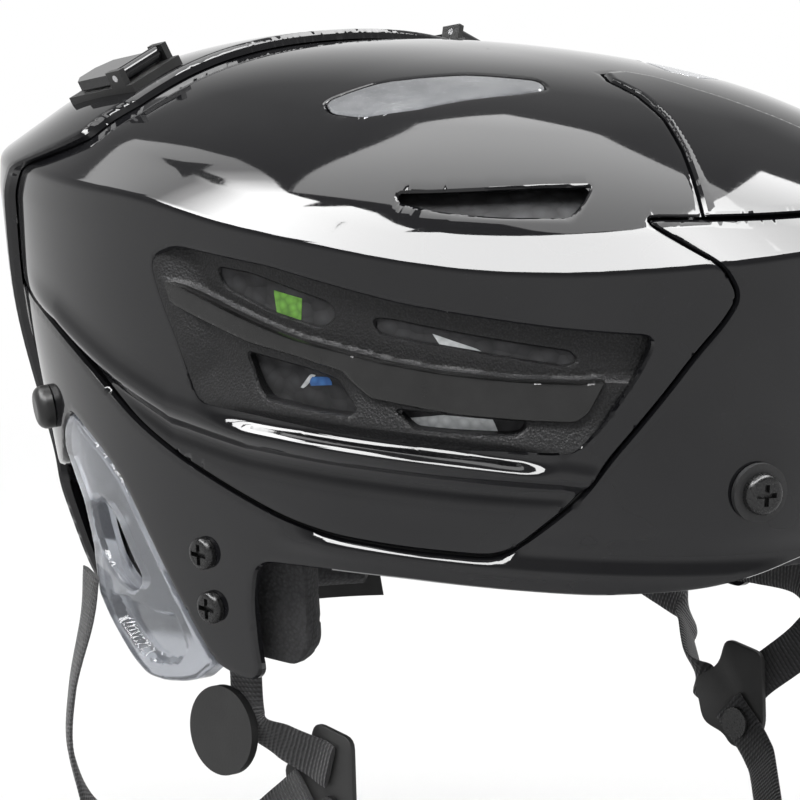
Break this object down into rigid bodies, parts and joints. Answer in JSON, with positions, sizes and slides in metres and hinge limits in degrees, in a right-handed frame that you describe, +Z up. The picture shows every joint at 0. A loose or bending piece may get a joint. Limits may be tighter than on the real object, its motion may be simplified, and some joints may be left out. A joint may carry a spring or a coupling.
{
  "type": "ice hockey helmet",
  "caption": "Two-shell adjustable ice hockey helmet with vented glossy black shells, foam liner, clear ear loops, flip latches and a padded chin strap.",
  "frame": {"origin": "centre of the head opening, at the level of the lowest point of the brow edge", "axes": "-Y to the wearer's front, -X to the wearer's right, +Z up"},
  "size_m": [0.2182, 0.2822, 0.2545],
  "materials": {
    "shell": "polished black moulded plastic",
    "insert": "pebbled matte black plastic",
    "silver": "silver grey plastic",
    "green_foam": "bright green foam",
    "blue_foam": "blue foam",
    "white_foam": "white foam",
    "liner": "black expanded foam",
    "pad": "soft black foam rubber",
    "clear": "clear polycarbonate",
    "steel": "plated steel",
    "washer": "black rubber washer",
    "dark_plastic": "satin black plastic",
    "webbing": "black woven webbing"
  },
  "bodies": {
    "front": {"outer_shell": "shell", "front_shell": "shell", "lap_band": "dark_plastic", "crown_panel": "shell", "crown_vent_right": "silver", "crown_vent_left": "silver", "vent_insert_right": "insert", "vent_insert_left": "insert", "vent_bar_right": "shell", "vent_bar_left": "shell", "vent_foam_upper_right": "green_foam", "vent_foam_upper_left": "green_foam", "vent_foam_front_right": "blue_foam", "vent_foam_front_left": "blue_foam", "vent_foam_lower_right": "white_foam", "vent_foam_lower_left": "white_foam", "front_liner": "liner", "brow_pad": "pad", "crown_pad_front": "pad", "temple_pad_right": "pad", "temple_pad_left": "pad", "ear_loop_right": "clear", "ear_loop_left": "clear", "forehead_screws": "steel", "screw_washers": "washer", "forehead_nuts": "steel", "leg_screws": "steel", "leg_nuts": "steel", "anchor_buttons": "dark_plastic", "rear_strap_right": "webbing", "rear_strap_left": "webbing", "front_strap_right": "webbing", "front_strap_left": "webbing", "yoke_right": "webbing", "yoke_left": "webbing", "yoke_rivets": "steel", "strap_disc": "dark_plastic"},
    "rear": {"rear_shell": "shell", "rear_liner": "liner", "rear_block": "liner", "crown_pad_rear": "pad", "latch_base_right": "dark_plastic", "latch_base_left": "dark_plastic", "latch_pins": "steel", "occipital_posts": "dark_plastic"},
    "latch_right": {"latch_lever_right": "shell"},
    "latch_left": {"latch_lever_left": "shell"},
    "occipital": {"occipital_carrier": "dark_plastic", "occipital_pad": "pad"},
    "chin_strap": {"chin_strap_right": "webbing", "chin_strap_left": "webbing", "chin_cup": "dark_plastic", "chin_cup_pad": "pad"},
    "slider_right": {"strap_slider_right": "dark_plastic"},
    "slider_left": {"strap_slider_left": "dark_plastic"}
  },
  "joints": [
    {"name": "size_slide", "type": "slide", "parent": "front", "child": "rear", "axis": [0, 0.9986, 0.0523], "range_m": [0, 0.012]},
    {"name": "latch_right_flip", "type": "hinge", "parent": "rear", "child": "latch_right", "pos_m": [-0.06511, 0.06274, 0.13137], "axis": [0.919, -0.0206, 0.3937], "range_deg": [0, 70]},
    {"name": "latch_left_flip", "type": "hinge", "parent": "rear", "child": "latch_left", "pos_m": [0.06511, 0.06274, 0.13137], "axis": [0.919, 0.0206, -0.3937], "range_deg": [0, 70]},
    {"name": "occipital_slide", "type": "slide", "parent": "rear", "child": "occipital", "axis": [0, -0.9986, -0.0523], "range_m": [0, 0.008]},
    {"name": "chin_swing", "type": "hinge", "parent": "front", "child": "chin_strap", "pos_m": [0, -0.03092, -0.0597], "axis": [1, 0, 0], "range_deg": [-25, 20]},
    {"name": "slider_right_slide", "type": "slide", "parent": "chin_strap", "child": "slider_right", "axis": [-0.5251, 0.5809, 0.622], "range_m": [-0.008, 0.008]},
    {"name": "slider_left_slide", "type": "slide", "parent": "chin_strap", "child": "slider_left", "axis": [0.5251, 0.5809, 0.622], "range_m": [-0.008, 0.008]}
  ]
}
